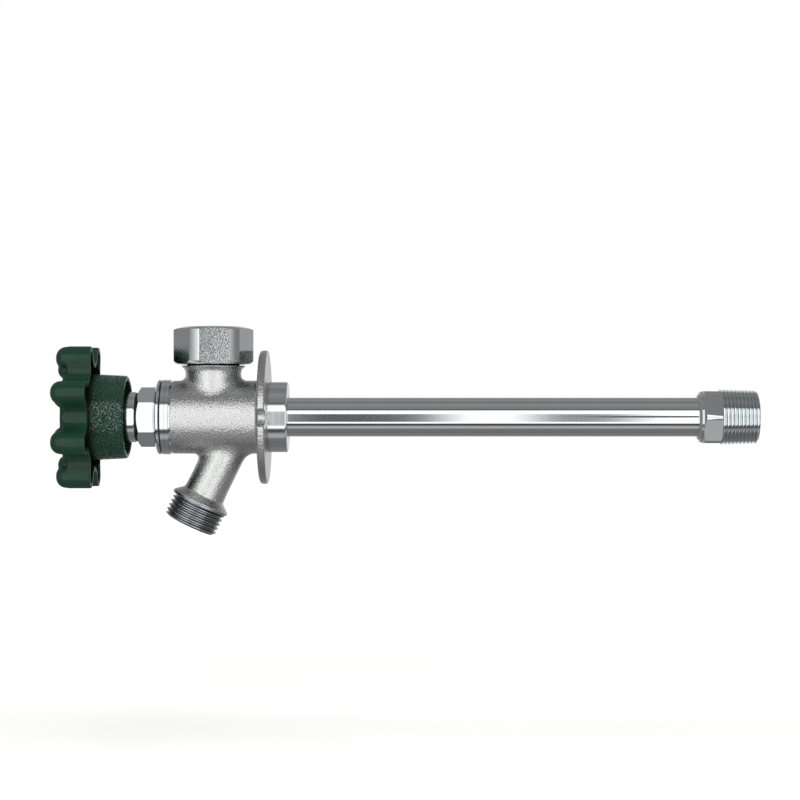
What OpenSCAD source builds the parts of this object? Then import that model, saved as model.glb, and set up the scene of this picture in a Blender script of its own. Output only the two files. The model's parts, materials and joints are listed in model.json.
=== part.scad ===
// Frost free sillcock: an outdoor wall tap that shuts off at the far end of a long tube.
// Frame: +X runs through the wall to the inlet and +Z is up. The origin is where the axis
// of the tube meets the back face of the wall flange. Lengths are in millimetres.

/* [Wall flange] */
// Diameter of the wall flange
flange_d = 65.4; // [62:0.2:76]
// Thickness of the wall flange
flange_t = 3.9; // [3:0.1:5]
// Distance between the two wall screws
screw_spacing = 53; // [51:0.5:56]
// Width of each open screw slot
screw_slot_w = 7; // [5:0.5:8]

/* [Valve body] */
// Length of the body in front of the wall
body_l = 51.5; // [50:0.5:60]
// Diameter of the cast barrel
barrel_d = 35.8; // [35:0.2:38]
// Diameter of the machined ring at the front of the barrel
ring_d = 36.6; // [36:0.2:40]
// Length of the machined ring
ring_l = 4.3; // [3:0.1:6]
// Diameter of the collar that enters the wall
collar_d = 34.5; // [30:0.5:38]
// Length of the collar that enters the wall
collar_l = 9.8; // [8:0.1:14]
// Diameter of the water chamber inside the barrel
chamber_d = 24.4; // [22:0.2:25.4]
// Thread diameter of the bonnet in the body
bonnet_thread_d = 26.8; // [26:0.1:28]

/* [Spout] */
// Angle of the spout from the vertical
spout_tilt = 26; // [22:1:30]
// Distance of the spout axis from the wall face, on the tube axis
spout_back = 13; // [12:0.5:16]
// Diameter of the spout below the barrel
spout_d = 20.1; // [19:0.1:21]
// Bore of the spout
spout_bore = 13.6; // [11:0.2:15]
// Length of the spout from the tube axis to its end
spout_l = 58.5; // [56:0.5:66]
// Diameter of the shoulder above the hose thread
shoulder_d = 28.8; // [28:0.1:31]
// Outside diameter of the hose thread
hose_thread_d = 26.99; // [26.4:0.01:27.5]
// Length of the hose thread
hose_thread_l = 12; // [10:0.5:14]

/* [Vacuum breaker] */
// Distance of the vacuum breaker axis from the wall face
neck_back = 26.9; // [26:0.1:29]
// Diameter of the neck that rises from the barrel
neck_d = 27.1; // [26:0.1:28.5]
// Diameter of the flare under the cap
neck_flare_d = 31.2; // [30.5:0.1:31.6]
// Height of the lower rim of the cap above the tube axis
cap_z = 25.9; // [25:0.1:30]
// Height of the cap
cap_h = 18.3; // [17.5:0.1:22]
// Width of the cap across its flats
cap_af = 36.4; // [36:0.1:38.5]
// Diameter of the cap across its turned corners
cap_d = 39.1; // [39:0.1:43]
// Turn of the cap on its thread where it stopped
cap_turn = 6.6; // [0:0.1:30]
// Lift of the float from its ledge to the vent seat
float_lift = 2; // [1:0.1:3]

/* [Bonnet] */
// Width of the bonnet hexagon across its flats
bonnet_af = 25.4; // [24:0.1:27]
// Length of the bonnet hexagon
bonnet_hex_l = 8.2; // [7:0.1:11]
// Thickness of the bonnet flange
bonnet_flange_t = 3.2; // [2.6:0.1:4.5]
// Diameter of the packing nut
packing_nut_d = 24.7; // [22:0.1:26]

/* [Spindle] */
// Diameter of the operating spindle
spindle_d = 9.5; // [8.5:0.1:10]
// Outside diameter of the spindle thread
spindle_thread_d = 12.6; // [12:0.1:14]
// Advance of the spindle in one turn of the handle
thread_lead = 2.54; // [2:0.01:3]
// Turns of the handle from shut to open
open_turns = 3; // [2:0.25:3.5]

/* [Handle] */
// Number of finger lobes
lobes = 8; // [7:1:9]
// Diameter of the circle through the lobe centres
lobe_circle_d = 61.8; // [60:0.2:68]
// Radius of each lobe
lobe_r = 5.9; // [5.4:0.1:6.4]
// Diameter across the valleys between the lobes
valley_d = 53; // [51:0.2:55]
// Depth of the handle from lobe fronts to the rear rim of its skirt
handle_depth = 33.2; // [31:0.2:38]
// Depth of the lobed rim
rim_depth = 17.2; // [15:0.2:19]
// Drop of the front plate behind the lobe fronts
dish_depth = 3.7; // [2.5:0.1:4.5]
// Diameter of the skirt where it leaves the rim
skirt_d = 43.2; // [41:0.2:45]
// Wall of the rim and of the skirt
handle_wall = 2.5; // [2:0.1:3]

/* [Supply tube and inlet] */
// Outside diameter of the supply tube
tube_d = 19.05; // [18:0.05:20]
// Wall of the supply tube
tube_wall = 1.2; // [1:0.05:1.5]
// Visible length of tube from the wall face to the inlet fitting
tube_l = 209.8; // [100:1:400]
// Width of the inlet hexagon across its flats
inlet_af = 25.4; // [25:0.1:29]
// Length of the inlet hexagon
inlet_hex_l = 9.3; // [8:0.1:12]
// Length of the tapered pipe thread
inlet_thread_l = 17.9; // [15:0.1:20]
// Outside diameter of the pipe thread at its free end
inlet_thread_d = 25.9; // [25:0.1:27]
// Bore of the solder socket in the inlet
sweat_d = 15.95; // [14:0.01:16.5]
// Depth of the solder socket in the inlet
sweat_l = 12.7; // [10:0.1:13]
// Bore of the valve seat
seat_bore = 9.5; // [8:0.1:10]

/* [Hidden] */
$fn = 96;

// Radial clearance of a shaft in its bore, and of a screw in its thread
run_gap = 0.05;
// Gap between faces that meet but belong to pieces that move apart
face_gap = 0.05;
// Room left before a stop
stop_gap = 0.3;
travel = thread_lead * open_turns;

// Stations along the axis, from the body's front face out to the handle
front_x = -body_l;
gasket_t = 0.6;
spigot_l = 12.5;
bonnet_flange_x = front_x - gasket_t - bonnet_flange_t;
hex_x = bonnet_flange_x - bonnet_hex_l;
tail_l = 5.5;
tail_d = 18;
tail_x = hex_x - tail_l;
nut_gap = 0.8;
nut_cap_t = 2.6;
gland_t = 1.8;
gland_rise = 0.4;
nut_seat_x = tail_x - gland_rise;
nut_front_x = nut_seat_x - nut_cap_t;
packing_d = 14;
packing_l = 3.6;
packing_x = nut_seat_x + gland_t;
nut_reveal = 4.4;
skirt_x = hex_x - nut_gap - nut_reveal;
handle_x = skirt_x - handle_depth;
plate_x = handle_x + dish_depth;
rim_x = handle_x + rim_depth;

// Spindle: its thread stops against a step in the bonnet when the tap is open
step_x = bonnet_flange_x - 0.7;
thread_l = 12;
thread_x = step_x + travel + stop_gap;
rod_x = thread_x + thread_l;
rod_d = spindle_d;
rod_wall = 0.9;
tang = 6.6;
boss_d = 16;
boss_x = rim_x + 0.5;
screw_seat_x = plate_x + 1.5;
screw_recess_d = 13;
screw_hole_l = 11;
handle_screw_d = 4;
screw_head_d = 9.6;
screw_head_h = 2.6;
lock_washer_d = 11;
lock_washer_t = 0.8;

// Inlet end
inlet_cone_l = 2.2;
inlet_hex_x = tube_l + inlet_cone_l;
inlet_thread_x = inlet_hex_x + inlet_hex_l;
inlet_x = inlet_thread_x + inlet_thread_l;
tube_in = 6.2;
tube_end_x = tube_l + tube_in;
tube_bore = tube_d - 2 * tube_wall;
socket_stop_x = inlet_x - sweat_l;
seat_x = socket_stop_x - 6.5;
seat_land = 1.5;
seat_rise = 2;
washer_d = 13;
washer_t = 4;
washer_x = seat_x - face_gap - washer_t;
pocket_l = 2;
holder_x = washer_x - 3.5;
holder_d = tube_bore - 1.85;
hub_l = 6.4;
hub_x = holder_x - hub_l;
journal_d = 5;
journal_l = 5.5;
ring_groove_x = hub_x + 2.6;
ring_wire = 0.8;

// Tube socket in the body
tube_stop_x = -9;
lip_l = 3;
front_bore_l = spigot_l + 1;
flange_fillet = 2.5;
slot_mouth_r = 1.5;

// Vacuum breaker: heights above the tube axis
neck_x = -neck_back;
ledge_z = cap_z - 3.9;
passage_d = 12;
float_d = 15.6;
float_leg_h = 5;
float_disc_t = 2;
seal_t = 2.4;
seal_z = ledge_z + face_gap + float_leg_h + float_disc_t;
vent_seat_z = seal_z + seal_t + float_lift;
neck_top_z = vent_seat_z + 1.5;
breaker_thread_d = 20.4;
breaker_gasket_t = 0.5;
spigot_d = 25.2;
breaker_flange_z = neck_top_z + breaker_gasket_t;
breaker_flange_t = 2;
seat_skirt_l = 2.4;
vent_circle_d = 11.6;
vent_d = 2.6;
stud_d = 8;
cap_top_t = 2.6;
cap_roof_z = cap_z + cap_h - cap_top_t;
stud_top_z = cap_roof_z + 0.9;
guide_pin_d = 4;
guide_pin_l = 7.5;
vent_gap = 0.7;

cast_chrome = "#8d9292";
chrome = "#c4c9cb";
brass = "#b8964a";
green_enamel = "#24463c";
rubber = "#26282a";
fibre = "#33302d";
graphite = "#3c3d40";
plastic = "#d8d6cc";
steel = "#aab0b4";

// Points of a circular arc, for the rounded corners of turned profiles
function arc(centre, r, from, to, steps = 5) =
    [for (i = [0:steps]) let (a = from + (to - from) * i / steps) centre + r * [cos(a), sin(a)]];

// A shape turned about the X axis from points given as [x, radius]
module turned(points) {
    rotate([0, 90, 0])
        rotate_extrude()
            polygon([for (p = points) [p[1], p[0]]]);
}

// A shape turned about its own Z axis from points given as [height, radius]
module turned_up(points) {
    rotate_extrude()
        polygon([for (p = points) [p[1], p[0]]]);
}

// A plain rod about the X axis from one station to another
module rod(from, to, d) {
    translate([from, 0, 0])
        rotate([0, 90, 0])
            cylinder(h = to - from, d = d);
}

// A ring about the X axis
module ring(from, to, outer, inner) {
    difference() {
        rod(from, to, outer);
        rod(from - 1, to + 1, inner);
    }
}

// A hexagon bar about the X axis, with corners up and down at turn 0
module hex_bar(from, to, af, turn = 0) {
    translate([from, 0, 0])
        rotate([turn, 0, 0])
            rotate([0, 90, 0])
                cylinder(h = to - from, r = af / 2 / cos(30), $fn = 6);
}

module in_neck() {
    translate([neck_x, 0, 0])
        children();
}

module along_spout() {
    translate([-spout_back, 0, 0])
        rotate([0, 180 + spout_tilt, 0])
            children();
}

// The blend where a round branch leaves the barrel. For each direction round the branch,
// a curve runs from the branch wall to the barrel, with the crease as its control point.
module branch_blend(base_x, tilt, branch_r, rise, spread, steps = 48, curve_steps = 5) {
    barrel_r = barrel_d / 2;
    sink = 0.06;
    side = [-cos(tilt), 0, sin(tilt)];
    way = [-sin(tilt), 0, -cos(tilt)];
    function on_axis(r, t, s) = [base_x, 0, 0] + r * cos(t) * side + [0, r * sin(t), 0] + s * way;
    function reach(r, t, barrel) =
        (sign(way[2]) * sqrt(barrel * barrel - pow(r * sin(t), 2)) - r * cos(t) * side[2]) / way[2];
    function curve(a, b, c, k) = (1 - k) * (1 - k) * a + 2 * k * (1 - k) * b + k * k * c;
    function section(t) =
        let (
            crease = on_axis(branch_r, t, reach(branch_r, t, barrel_r)),
            top = on_axis(branch_r - sink, t, reach(branch_r, t, barrel_r) + rise),
            foot = on_axis(branch_r + spread, t, reach(branch_r + spread, t, barrel_r - sink)),
            root = on_axis(branch_r - 1.5, t, reach(branch_r - 1.5, t, barrel_r - 1.5))
        )
        concat([for (j = [0:curve_steps]) curve(top, crease, foot, j / curve_steps)], [root]);
    count = curve_steps + 2;
    points = [for (i = [0:steps - 1]) each section(360 * i / steps)];
    function at(i, j) = (i % steps) * count + j % count;
    faces = [for (i = [0:steps - 1], j = [0:count - 1]) each [
        [at(i, j), at(i + 1, j + 1), at(i, j + 1)],
        [at(i, j), at(i + 1, j), at(i + 1, j + 1)]
    ]];
    polyhedron(points = points, faces = faces);
}

// An open screw slot in the edge of the flange, drawn with its length along Y
module screw_slot() {
    slot_y = screw_spacing / 2;
    edge_y = flange_d / 2 - 0.2;
    half_w = screw_slot_w / 2;
    translate([0, slot_y])
        circle(r = half_w);
    translate([-half_w, slot_y])
        square([screw_slot_w, flange_d / 2]);
    difference() {
        translate([-half_w - slot_mouth_r, edge_y - slot_mouth_r])
            square([screw_slot_w + 2 * slot_mouth_r, flange_d / 2]);
        for (s = [-1, 1])
            translate([s * (half_w + slot_mouth_r), edge_y - slot_mouth_r])
                circle(r = slot_mouth_r);
    }
}

module body_outside() {
    barrel_r = barrel_d / 2;
    ring_r = ring_d / 2;
    flange_r = flange_d / 2;
    collar_r = collar_d / 2;
    edge = 1.4;
    groove_x = front_x + ring_l;
    turned(concat(
        [[front_x, 0], [front_x, ring_r - 0.3], [front_x + 0.3, ring_r], [groove_x - 0.1, ring_r]],
        [[groove_x, ring_r - 0.9], [groove_x + 0.4, ring_r - 0.9], [groove_x + 0.8, barrel_r]],
        [[-flange_t - flange_fillet, barrel_r]],
        arc([-flange_t - flange_fillet, barrel_r + flange_fillet], flange_fillet, -72, 0),
        arc([-flange_t + edge, flange_r - edge], edge, 180, 90),
        [[-0.4, flange_r], [0, flange_r - 0.4], [0, collar_r]],
        [[collar_l - 0.8, collar_r], [collar_l, collar_r - 0.8], [collar_l, 0]]
    ));
    in_neck()
        turned_up([
            [chamber_d / 2 - 4, 0], [chamber_d / 2 - 4, neck_d / 2], [cap_z - 4.6, neck_d / 2],
            [cap_z - 3.2, neck_d / 2 + 0.25], [cap_z - 2, neck_d / 2 + 0.75],
            [cap_z - 1.2, neck_flare_d / 2], [cap_z - vent_gap, neck_flare_d / 2],
            [cap_z - vent_gap, spigot_d / 2], [neck_top_z, spigot_d / 2], [neck_top_z, 0]
        ]);
    shoulder_s = spout_l - hose_thread_l - 0.8;
    along_spout()
        turned_up([
            [8, 0], [8, spout_d / 2], [shoulder_s - 9, spout_d / 2],
            [shoulder_s - 3.3, spout_d / 2 + 0.3], [shoulder_s, shoulder_d / 2],
            [shoulder_s + 0.8, shoulder_d / 2], [shoulder_s + 0.8, hose_thread_d / 2],
            [spout_l - 0.9, hose_thread_d / 2], [spout_l, hose_thread_d / 2 - 0.9], [spout_l, 0]
        ]);
    branch_blend(neck_x, 180, neck_d / 2, 3.4, 3.3);
    branch_blend(-spout_back, spout_tilt, spout_d / 2, 5, 3.6);
}

module valve_body() {
    color(cast_chrome)
        difference() {
            body_outside();
            for (s = [0, 180])
                rotate([s, 0, 0])
                    translate([-flange_t - flange_fillet - 1, 0, 0])
                        rotate([90, 0, 90])
                            linear_extrude(flange_t + flange_fillet + 2)
                                rotate(-90)
                                    screw_slot();
            rod(front_x - 1, front_x + front_bore_l, bonnet_thread_d + 2 * run_gap);
            rod(front_x, tube_stop_x - lip_l, chamber_d);
            rod(front_x, collar_l, tube_bore);
            rod(tube_stop_x, collar_l + 1, tube_d + 2 * run_gap);
            in_neck() {
                cylinder(h = neck_top_z, d = passage_d);
                translate([0, 0, ledge_z])
                    cylinder(h = neck_top_z, d = float_d + 1.2);
                translate([0, 0, vent_seat_z - 3])
                    cylinder(h = neck_top_z, d = breaker_thread_d);
            }
            along_spout() {
                cylinder(h = spout_l + 1, d = spout_bore);
                translate([0, 0, spout_l - 9])
                    cylinder(h = 3, d1 = spout_bore, d2 = spout_bore + 5);
                translate([0, 0, spout_l - 6])
                    cylinder(h = 7, d = spout_bore + 5);
            }
        }
}

module supply_tube() {
    color(chrome)
        ring(tube_stop_x + 0.1, tube_end_x, tube_d, tube_bore);
}

module inlet_fitting() {
    big_r = (inlet_thread_d + inlet_thread_l / 16) / 2;
    small_r = inlet_thread_d / 2;
    color(chrome)
        difference() {
            union() {
                turned([
                    [tube_l, 0], [tube_l, tube_d / 2 + 1], [inlet_hex_x, inlet_af / 2],
                    [inlet_hex_x + 1, inlet_af / 2], [inlet_hex_x + 1, 0]
                ]);
                intersection() {
                    hex_bar(inlet_hex_x, inlet_thread_x, inlet_af, 30);
                    turned([
                        [inlet_hex_x, 0], [inlet_hex_x, inlet_af / 2],
                        [inlet_hex_x + 1.3, inlet_af * 0.58], [inlet_thread_x, inlet_af * 0.58],
                        [inlet_thread_x, 0]
                    ]);
                }
                turned([
                    [inlet_thread_x - 0.5, 0], [inlet_thread_x - 0.5, big_r - 0.4],
                    [inlet_thread_x, big_r], [inlet_x - 1.2, small_r + 0.03],
                    [inlet_x, small_r - 1.1], [inlet_x, 0]
                ]);
            }
            rod(tube_l - 1, tube_end_x + 0.1, tube_d + 2 * run_gap);
            ring(tube_end_x, seat_x + seat_rise, tube_bore, seat_bore + 2 * seat_land);
            rod(tube_end_x - 1, seat_x, tube_bore);
            rod(tube_end_x, inlet_x + 1, seat_bore);
            rod(socket_stop_x, inlet_x + 1, sweat_d);
        }
}

module bonnet() {
    color(chrome)
        difference() {
            union() {
                turned([
                    [bonnet_flange_x, 0], [bonnet_flange_x, bonnet_af / 2 + 1.2],
                    [bonnet_flange_x + 1.6, ring_d / 2 - 0.4], [bonnet_flange_x + 2, ring_d / 2],
                    [front_x - gasket_t - 0.2, ring_d / 2], [front_x - gasket_t, ring_d / 2 - 0.2],
                    [front_x - gasket_t, bonnet_thread_d / 2],
                    [front_x + spigot_l - 1, bonnet_thread_d / 2],
                    [front_x + spigot_l, bonnet_thread_d / 2 - 1], [front_x + spigot_l, 0]
                ]);
                intersection() {
                    hex_bar(hex_x, bonnet_flange_x + 0.5, bonnet_af);
                    turned([
                        [hex_x, 0], [hex_x, bonnet_af / 2 - 0.4], [hex_x + 1.5, bonnet_af * 0.575],
                        [bonnet_flange_x + 1, bonnet_af * 0.6], [bonnet_flange_x + 1, 0]
                    ]);
                }
                rod(tail_x, hex_x + 1, tail_d);
            }
            rod(tail_x - 1, packing_x + packing_l, packing_d);
            rod(tail_x, step_x + 1, spindle_d + 2 * run_gap);
            ring(step_x - 3.6, step_x - 1.4, spindle_d + 3.6, spindle_d);
            rod(step_x, front_x + spigot_l + 1, spindle_thread_d + 2 * run_gap);
        }
}

module bonnet_gasket() {
    color(fibre)
        ring(front_x - gasket_t, front_x, ring_d - 1.4, bonnet_thread_d + 0.4);
}

module packing_nut() {
    nut_r = packing_nut_d / 2;
    nut_rear_x = hex_x - nut_gap;
    color(chrome)
        difference() {
            turned([
                [nut_front_x, 0], [nut_front_x, nut_r - 1.4], [nut_front_x + 1.4, nut_r],
                [nut_rear_x - 0.5, nut_r], [nut_rear_x, nut_r - 0.5], [nut_rear_x, 0]
            ]);
            rod(nut_seat_x, nut_rear_x + 1, tail_d + 2 * run_gap);
            rod(nut_front_x - 1, nut_rear_x, spindle_d + 4 * run_gap);
        }
}

module packing_gland() {
    color(brass)
        ring(nut_seat_x, packing_x, packing_d - 0.3, spindle_d + 4 * run_gap);
}

module packing() {
    color(graphite)
        ring(packing_x, packing_x + packing_l, packing_d, spindle_d + 2 * run_gap);
}

module spindle_o_ring() {
    wire_r = 0.85;
    color(rubber)
        translate([step_x - 2.5, 0, 0])
            rotate([0, 90, 0])
                rotate_extrude()
                    translate([spindle_d / 2 + run_gap + wire_r, 0])
                        circle(r = wire_r, $fn = 32);
}

module spindle() {
    color(brass)
        difference() {
            union() {
                rod(boss_x + 0.2, thread_x + 1, spindle_d);
                turned([
                    [thread_x, 0], [thread_x, spindle_d / 2], [thread_x + 1.2, spindle_thread_d / 2],
                    [rod_x - 1.2, spindle_thread_d / 2], [rod_x, spindle_d / 2 + 0.4], [rod_x, 0]
                ]);
                rod(rod_x - 1, rod_x + 10, rod_d - 2 * rod_wall - 2 * run_gap);
                translate([screw_seat_x + 0.4, -tang / 2, -tang / 2])
                    cube([boss_x - screw_seat_x + 1, tang, tang]);
            }
            rod(screw_seat_x - 1, screw_seat_x + screw_hole_l + 1, handle_screw_d + 2 * run_gap);
        }
}

module spindle_rod() {
    color(brass)
        ring(rod_x, hub_x - 3, rod_d, rod_d - 2 * rod_wall);
}

// Plug in the end of the rod, whose journal carries the swivelling washer holder
module rod_end() {
    journal_r = journal_d / 2;
    ring_end_x = ring_groove_x + ring_wire + 0.2;
    color(brass)
        turned([
            [hub_x - 10, 0], [hub_x - 10, rod_d / 2 - rod_wall - run_gap],
            [hub_x - 3, rod_d / 2 - rod_wall - run_gap], [hub_x - 3, rod_d / 2],
            [hub_x - face_gap, rod_d / 2], [hub_x - face_gap, journal_r],
            [ring_groove_x, journal_r], [ring_groove_x, journal_r - 0.4],
            [ring_end_x, journal_r - 0.4], [ring_end_x, journal_r],
            [hub_x + journal_l, journal_r], [hub_x + journal_l, 0]
        ]);
}

module rod_guide() {
    guide_l = 6;
    guide_x = hub_x - 14 - guide_l;
    guide_d = tube_bore - 0.2;
    color(plastic)
        difference() {
            ring(guide_x, guide_x + guide_l, guide_d, rod_d + 2 * run_gap);
            for (a = [45:90:315])
                rotate([a, 0, 0])
                    translate([guide_x - 1, -guide_d * 0.19, rod_d / 2 + 1.2])
                        cube([guide_l + 2, guide_d * 0.38, guide_d]);
        }
}

module washer_holder() {
    holder_r = holder_d / 2;
    rim_end_x = washer_x + pocket_l;
    color(brass)
        difference() {
            turned([
                [hub_x, 0], [hub_x, rod_d / 2 - 0.5], [hub_x + 0.5, rod_d / 2],
                [holder_x - 1, rod_d / 2], [holder_x, holder_r - 0.6], [holder_x + 0.6, holder_r],
                [rim_end_x, holder_r], [rim_end_x, 0]
            ]);
            rod(washer_x, rim_end_x + 1, washer_d + 0.1);
            rod(hub_x - 1, hub_x + journal_l + 0.3, journal_d + 2 * run_gap);
            rod(ring_groove_x + 0.05, ring_groove_x + ring_wire + 0.15, journal_d + 1.4);
            rod(hub_x + journal_l + 1, washer_x + 1, 3.1);
        }
}

module swivel_ring() {
    color(steel)
        ring(ring_groove_x + 0.1, ring_groove_x + 0.1 + ring_wire, journal_d + 1.2, journal_d - 0.7);
}

module seat_washer() {
    color(rubber)
        ring(washer_x, washer_x + washer_t, washer_d, 3.2);
}

module washer_screw() {
    head_x = washer_x + washer_t;
    color(brass)
        difference() {
            turned([
                [head_x - 6.2, 0], [head_x - 6.2, 1.5], [head_x, 1.5], [head_x, 3],
                [head_x + 1, 3], [head_x + 1.5, 2.4], [head_x + 1.5, 0]
            ]);
            translate([head_x + 0.8, -0.4, -4])
                cube([2, 0.8, 8]);
        }
}

// Outline of the lobed rim, inset by a wall. Each lobe arc meets the valley arc beside it
// at a tangent point, and both keep their centres when the wall is taken off.
function rim_outline(inset) =
    let (
        half = 180 / lobes,
        lobe_c = lobe_circle_d / 2,
        valley_r = valley_d / 2,
        square_sum = lobe_c * lobe_c + valley_r * valley_r - 2 * lobe_c * valley_r * cos(half),
        bend = (square_sum - lobe_r * lobe_r) / (2 * (lobe_r - valley_r + lobe_c * cos(half))),
        valley_c = valley_r + bend,
        across = [valley_c * cos(half) - lobe_c, valley_c * sin(half)],
        lean = atan2(across[1], across[0])
    )
    [for (i = [0:lobes - 1])
        let (
            turn = 2 * half * i,
            mid = turn + half,
            sweep = 2 * (lean - half)
        )
        each concat(
            arc(lobe_c * [cos(turn), sin(turn)], lobe_r - inset, turn - lean, turn + lean, 10),
            arc(valley_c * [cos(mid), sin(mid)], bend + inset,
                turn + lean + 180 - sweep / 6, turn + lean + 180 - sweep * 5 / 6, 4)
        )];

// The lobed outline as a block between two stations
module rim_block(from, to, inset) {
    translate([from, 0, 0])
        rotate([0, 90, 0])
            rotate(180 / lobes)
                linear_extrude(to - from)
                    polygon(rim_outline(inset));
}

// The raised front of each lobe: a domed knuckle, with a lower one inside it, so that the
// lobe runs in towards the middle of the handle
module handle_knuckles() {
    base_x = handle_x + lobe_r + 1;
    dome_r = lobe_r - 1;
    outer_r = lobe_r - 0.25;
    inner_r = dome_r + 0.2;
    for (i = [0:lobes - 1])
        rotate([180 / lobes + 360 * i / lobes, 0, 0]) {
            translate([0, 0, lobe_circle_d / 2])
                turned(concat(
                    [[base_x, 0], [base_x, outer_r]],
                    arc([handle_x + dome_r, outer_r - dome_r], dome_r, 90, 180),
                    [[handle_x, 0]]
                ));
            translate([0, 0, lobe_circle_d / 2 - lobe_r])
                turned(concat(
                    [[base_x, 0], [base_x, inner_r]],
                    arc([handle_x + dome_r + 0.5, inner_r - dome_r], dome_r, 90, 180),
                    [[handle_x + 0.5, 0]]
                ));
        }
}

module handle() {
    lobe_mid_x = handle_x + lobe_r;
    plate_t = 3.4;
    skirt_r = skirt_d / 2;
    skirt_end_r = skirt_r - 1.3;
    edge = 1.2;
    valley_r = valley_d / 2;
    round = lobe_mid_x - plate_x;
    color(green_enamel)
        difference() {
            union() {
                difference() {
                    union() {
                        rim_block(lobe_mid_x, rim_x, 0);
                        turned(concat(
                            [[lobe_mid_x + 0.5, 0], [plate_x, 0]],
                            arc([lobe_mid_x, valley_r - round], round, 180, 90),
                            [[lobe_mid_x + 0.5, valley_r]]
                        ));
                        handle_knuckles();
                    }
                    rim_block(plate_x + plate_t, rim_x + 1, handle_wall);
                }
                difference() {
                    turned(concat(
                        [[plate_x + 1, 0], [plate_x + 1, skirt_r]],
                        arc([skirt_x - edge, skirt_end_r - edge], edge, 90, 0),
                        [[skirt_x, 0]]
                    ));
                    turned([
                        [plate_x + plate_t, 0], [plate_x + plate_t, skirt_r - handle_wall],
                        [skirt_x + 1, skirt_end_r - handle_wall], [skirt_x + 1, 0]
                    ]);
                }
                rod(plate_x + 1, boss_x, boss_d);
            }
            translate([plate_x - 1, -tang / 2 - run_gap, -tang / 2 - run_gap])
                cube([boss_x - plate_x + 2, tang + 2 * run_gap, tang + 2 * run_gap]);
            rod(handle_x - 1, screw_seat_x, screw_recess_d);
        }
}

module handle_lock_washer() {
    color(steel)
        ring(screw_seat_x - lock_washer_t, screw_seat_x, lock_washer_d, handle_screw_d + 0.4);
}

module handle_screw() {
    seat = screw_seat_x - lock_washer_t;
    end = seat + screw_hole_l;
    shank_r = handle_screw_d / 2;
    head_r = screw_head_d / 2;
    slot_l = screw_head_d * 0.46;
    slot_w = screw_head_d * 0.1;
    color(steel)
        difference() {
            turned([
                [seat - screw_head_h, 0], [seat - screw_head_h, head_r * 0.55],
                [seat - screw_head_h * 0.77, head_r * 0.85], [seat - screw_head_h * 0.3, head_r],
                [seat, head_r], [seat, shank_r], [end, shank_r], [end, 0]
            ]);
            for (a = [0, 90])
                rotate([a, 0, 0])
                    translate([seat - screw_head_h - 1, -slot_w / 2, -slot_l / 2])
                        cube([screw_head_h * 0.6 + 1, slot_w, slot_l]);
        }
}

module breaker_seat() {
    thread_r = breaker_thread_d / 2 - run_gap;
    skirt_z = vent_seat_z - seat_skirt_l;
    vent_l = breaker_flange_z + breaker_flange_t - vent_seat_z;
    color(brass)
        in_neck()
            difference() {
                turned_up([
                    [skirt_z, 0], [skirt_z, thread_r],
                    [neck_top_z + breaker_gasket_t, thread_r],
                    [breaker_flange_z, spigot_d / 2], [breaker_flange_z + breaker_flange_t, spigot_d / 2],
                    [breaker_flange_z + breaker_flange_t, stud_d / 2], [stud_top_z, stud_d / 2],
                    [stud_top_z, 0]
                ]);
                translate([0, 0, skirt_z - 1])
                    cylinder(h = seat_skirt_l + 1, d = float_d + 1.2);
                translate([0, 0, vent_seat_z - 1])
                    cylinder(h = guide_pin_l + 1, d = guide_pin_d + 2 * run_gap);
                for (a = [0:60:300])
                    rotate(a)
                        translate([vent_circle_d / 2, 0, vent_seat_z - 1])
                            cylinder(h = vent_l + 2, d = vent_d);
            }
}

module breaker_gasket() {
    color(fibre)
        in_neck()
            translate([0, 0, neck_top_z])
                difference() {
                    cylinder(h = breaker_gasket_t, d = spigot_d - 0.4);
                    translate([0, 0, -1])
                        cylinder(h = breaker_gasket_t + 2, d = breaker_thread_d + 0.2);
                }
}

// The float stands on four legs, so the water way below it stays open at rest
module float() {
    leg_z = ledge_z + face_gap;
    disc_z = leg_z + float_leg_h;
    pin_top_z = vent_seat_z + guide_pin_l - float_lift - 0.5;
    color(plastic)
        in_neck() {
            translate([0, 0, disc_z])
                cylinder(h = float_disc_t, d = float_d);
            translate([0, 0, disc_z + 0.5])
                cylinder(h = pin_top_z - disc_z - 0.5, d = guide_pin_d);
            difference() {
                translate([0, 0, leg_z])
                    cylinder(h = float_leg_h + 0.5, d = float_d);
                translate([0, 0, leg_z - 1])
                    cylinder(h = float_leg_h + 1, d = float_d - 3);
                for (a = [0, 90])
                    rotate(a)
                        translate([-float_d, -float_d * 0.27, leg_z - 1])
                            cube([2 * float_d, float_d * 0.54, float_leg_h + 1]);
            }
        }
}

module float_seal() {
    color(rubber)
        in_neck()
            translate([0, 0, seal_z])
                difference() {
                    cylinder(h = seal_t, d = float_d);
                    translate([0, 0, -1])
                        cylinder(h = seal_t + 2, d = guide_pin_d + 0.1);
                }
}

module vacuum_breaker_cap() {
    cap_r = cap_d / 2;
    top_z = cap_z + cap_h;
    bore_d = neck_flare_d + 1.2;
    color(chrome)
        in_neck()
            difference() {
                intersection() {
                    translate([0, 0, cap_z])
                        rotate(cap_turn)
                            cylinder(h = cap_h, r = cap_af / 2 / cos(30), $fn = 6);
                    turned_up([
                        [cap_z, 0], [cap_z, cap_r - 1.6], [cap_z + 1.5, cap_r],
                        [top_z - 1.5, cap_r], [top_z, cap_r - 5], [top_z, 0]
                    ]);
                }
                difference() {
                    translate([0, 0, cap_z - 1])
                        cylinder(h = cap_roof_z - cap_z + 1, d = bore_d);
                    translate([0, 0, breaker_flange_z + breaker_flange_t + 1.2])
                        cylinder(h = cap_h, d = stud_d + 5);
                }
                translate([0, 0, cap_z])
                    cylinder(h = stud_top_z + 0.3 - cap_z, d = stud_d + 2 * run_gap);
            }
}

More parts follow.
